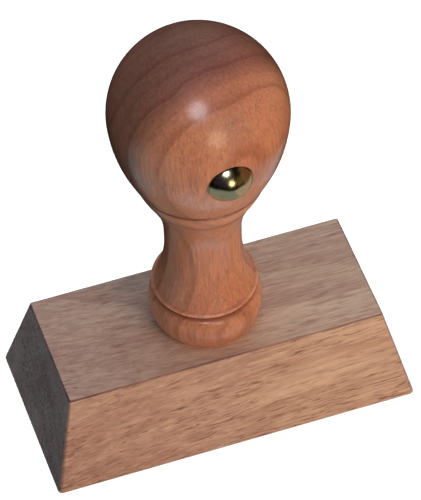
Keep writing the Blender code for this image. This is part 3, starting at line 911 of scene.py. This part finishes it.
def direction(azimuth, elevation):
    """Unit vector from the object towards a place round it; azimuth 0 is the front."""
    return Vector((
        sin(azimuth) * cos(elevation), -cos(azimuth) * cos(elevation), sin(elevation)))


def make_floor():
    """Wide pale floor under the printing face."""
    sheet = bmesh.new()
    bmesh.ops.create_grid(sheet, x_segments=8, y_segments=8, size=STUDIO_RADIUS)
    floor = add_object("floor", sheet)
    floor.location.z = CAD_BOX[0].z
    floor.data.materials.append(paper_floor())
    floor.visible_diffuse = False
    floor.visible_glossy = False
    floor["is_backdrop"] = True
    return floor


def make_backdrop():
    """Pale dome far behind the floor, seen by the camera only."""
    shell = bmesh.new()
    bmesh.ops.create_uvsphere(shell, u_segments=64, v_segments=32, radius=STUDIO_RADIUS)
    backdrop = add_object("backdrop", shell)
    backdrop.data.shade_smooth()
    backdrop.data.materials.append(pale_glow())
    backdrop.visible_diffuse = False
    backdrop.visible_glossy = False
    backdrop.visible_transmission = False
    backdrop.visible_shadow = False
    backdrop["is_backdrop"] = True


def area_light(name, azimuth, elevation, distance, size, power, colour):
    """A soft round light aimed at the stamp's middle."""
    data = bpy.data.lights.new(name, "AREA")
    data.shape = "DISK"
    data.energy = power
    data.color = colour
    data.size = size
    lamp = bpy.data.objects.new(name, data)
    back = direction(radians(azimuth), radians(elevation))
    lamp.location = Vector((0, 0, LIGHT_AIM_Z)) + back * distance
    lamp.rotation_mode = "QUATERNION"
    lamp.rotation_quaternion = back.to_track_quat("Z", "Y")
    bpy.context.scene.collection.objects.link(lamp)
    return lamp


def gather(name, things):
    """A collection of things, outside the scene."""
    group = bpy.data.collections.new(name)
    for thing in things:
        group.objects.link(thing)
    return group


def card(name, place, size, radiance, colour, receivers, flat=False):
    """An even rectangle of light that faces the tack or lies flat, seen only mirrored in its receivers."""
    lamp = area_light(name, 0, 0, 0, size[0], radiance * pi * size[0] * size[1], colour)
    lamp.data.shape = "RECTANGLE"
    lamp.data.size_y = size[1]
    lamp.location = place
    target = Vector((0, -CAP_SEAT, CAP_CENTRE_Z))
    back = Vector((0, 0, -1)) if flat else lamp.location - target
    lamp.rotation_quaternion = back.to_track_quat("Z", "Y")
    lamp.light_linking.receiver_collection = receivers
    lamp.light_linking.blocker_collection = receivers
    lamp.visible_diffuse = False
    return lamp


def light_floor(floor_alone):
    """An even wash from above that lights the floor and nothing else."""
    data = bpy.data.lights.new("floor_wash", "SUN")
    data.energy = FLOOR_LIGHT
    data.angle = FLOOR_LIGHT_SPREAD
    wash = bpy.data.objects.new("floor_wash", data)
    bpy.context.scene.collection.objects.link(wash)
    wash.light_linking.receiver_collection = floor_alone
    wash.light_linking.blocker_collection = floor_alone


def make_lights(floor, block, handle, cap):
    """Warm key from the front right, cool light from above, and small lights seen only as highlights."""
    world = bpy.data.worlds.new("studio")
    world.use_nodes = True
    sky = world.node_tree.nodes["Background"]
    sky.inputs["Color"].default_value = rgb(0.19, 0.25, 0.28)
    sky.inputs["Strength"].default_value = 1.0
    bpy.context.scene.world = world
    world.cycles_visibility.glossy = False

    stamp_pieces = gather("stamp_pieces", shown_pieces())
    block_alone = gather("block_alone", [block])
    handle_alone = gather("handle_alone", [handle])
    cap_alone = gather("cap_alone", [cap])

    key = area_light("key", 22, 20, 0.34, 0.28, 0.95, (1.0, 0.80, 0.60))
    overhead = area_light("overhead", 0, 90, 0.9, 0.8, 2.6, (0.19, 0.5, 1.0))
    back_fill = area_light("back_fill", 150, 42, 0.5, 0.5, 0.85, (0.6, 0.85, 1.0))
    back_soft = area_light("back_soft", 178, 8, 0.45, 0.4, 0.65, (1.0, 0.94, 0.88))
    for lamp in (key, overhead, back_fill, back_soft):
        lamp.light_linking.receiver_collection = stamp_pieces
        lamp.visible_glossy = False
    bounce = area_light("bounce", -75, -12, 0.35, 0.35, 0.18, (0.75, 0.88, 1.0))
    bounce.light_linking.receiver_collection = handle_alone
    bounce.visible_glossy = False
    low_right = area_light("low_right", 40, 5, 0.16, 0.1, 0.028, (1.0, 0.93, 0.85))
    low_right.light_linking.receiver_collection = block_alone
    low_right.visible_glossy = False

    light_floor(gather("floor_alone", [floor]))

    window = area_light("window", -17, 51.5, 0.9, 0.34, 2.2, (0.76, 0.85, 1.0))
    window.visible_diffuse = False
    glow = area_light("warm_spot", 3, 13, 0.9, 0.34, 1.0, (1.0, 0.84, 0.55))
    glow.visible_diffuse = False

    # Surroundings that only the lacquer or only the brass mirrors
    for name, place, size, radiance, colour in (
            ("paper_sheen", (-0.2, -0.3, -0.06), (0.64, 0.7), 0.42, (0.62, 0.9, 1.0)),
            ("block_sheen", (0.01, -0.015, -0.06), (0.13, 0.12), 0.4, (0.78, 0.9, 1.0))):
        card(name, place, size, radiance, colour, handle_alone, flat=True)
    for name, place, size, radiance, colour in (
            ("table", (0.0, -0.20, -0.13), (0.7, 0.5), 0.26, (0.85, 0.97, 1.0)),
            ("tan_table", (0.27, -0.12, -0.11), (0.40, 0.5), 0.2, (1.0, 0.5, 0.3))):
        card(name, place, size, radiance, colour, cap_alone, flat=True)
    for name, place, size, radiance, colour in (
            ("brown_wall", (0.5, -0.12, 0.16), (0.4, 0.6), 0.17, (1.0, 0.42, 0.3)),
            ("olive_wall", (0.38, -0.42, 0.13), (0.34, 0.3), 0.12, (1.0, 0.7, 0.36)),
            ("dim_room", (-0.5, -0.6, 0.5), (1.6, 1.2), 0.03, (0.7, 0.4, 1.0))):
        card(name, place, size, radiance, colour, cap_alone)


def make_camera():
    """Long lens that looks down at the stamp from the front left."""
    data = bpy.data.cameras.new("camera")
    data.lens = CAMERA_LENS
    data.sensor_width = 36
    data.clip_start = 0.05
    data.clip_end = 20
    camera = bpy.data.objects.new("camera", data)
    back = direction(CAMERA_AZIMUTH, CAMERA_ELEVATION)
    camera.location = CAMERA_TARGET + back * CAMERA_DISTANCE
    camera.rotation_mode = "QUATERNION"
    upright = back.to_track_quat("Z", "Y")
    camera.rotation_quaternion = upright @ Matrix.Rotation(CAMERA_ROLL, 4, "Z").to_quaternion()
    bpy.context.scene.collection.objects.link(camera)
    bpy.context.scene.camera = camera


turned_handle = make_handle()
beech_block = make_block()
domed_cap = make_cap()
make_layers()
make_die()
dress_hidden_steel()
make_backdrop()
make_lights(make_floor(), beech_block, turned_handle, domed_cap)
make_camera()
bpy.context.scene.view_settings.view_transform = "Standard"
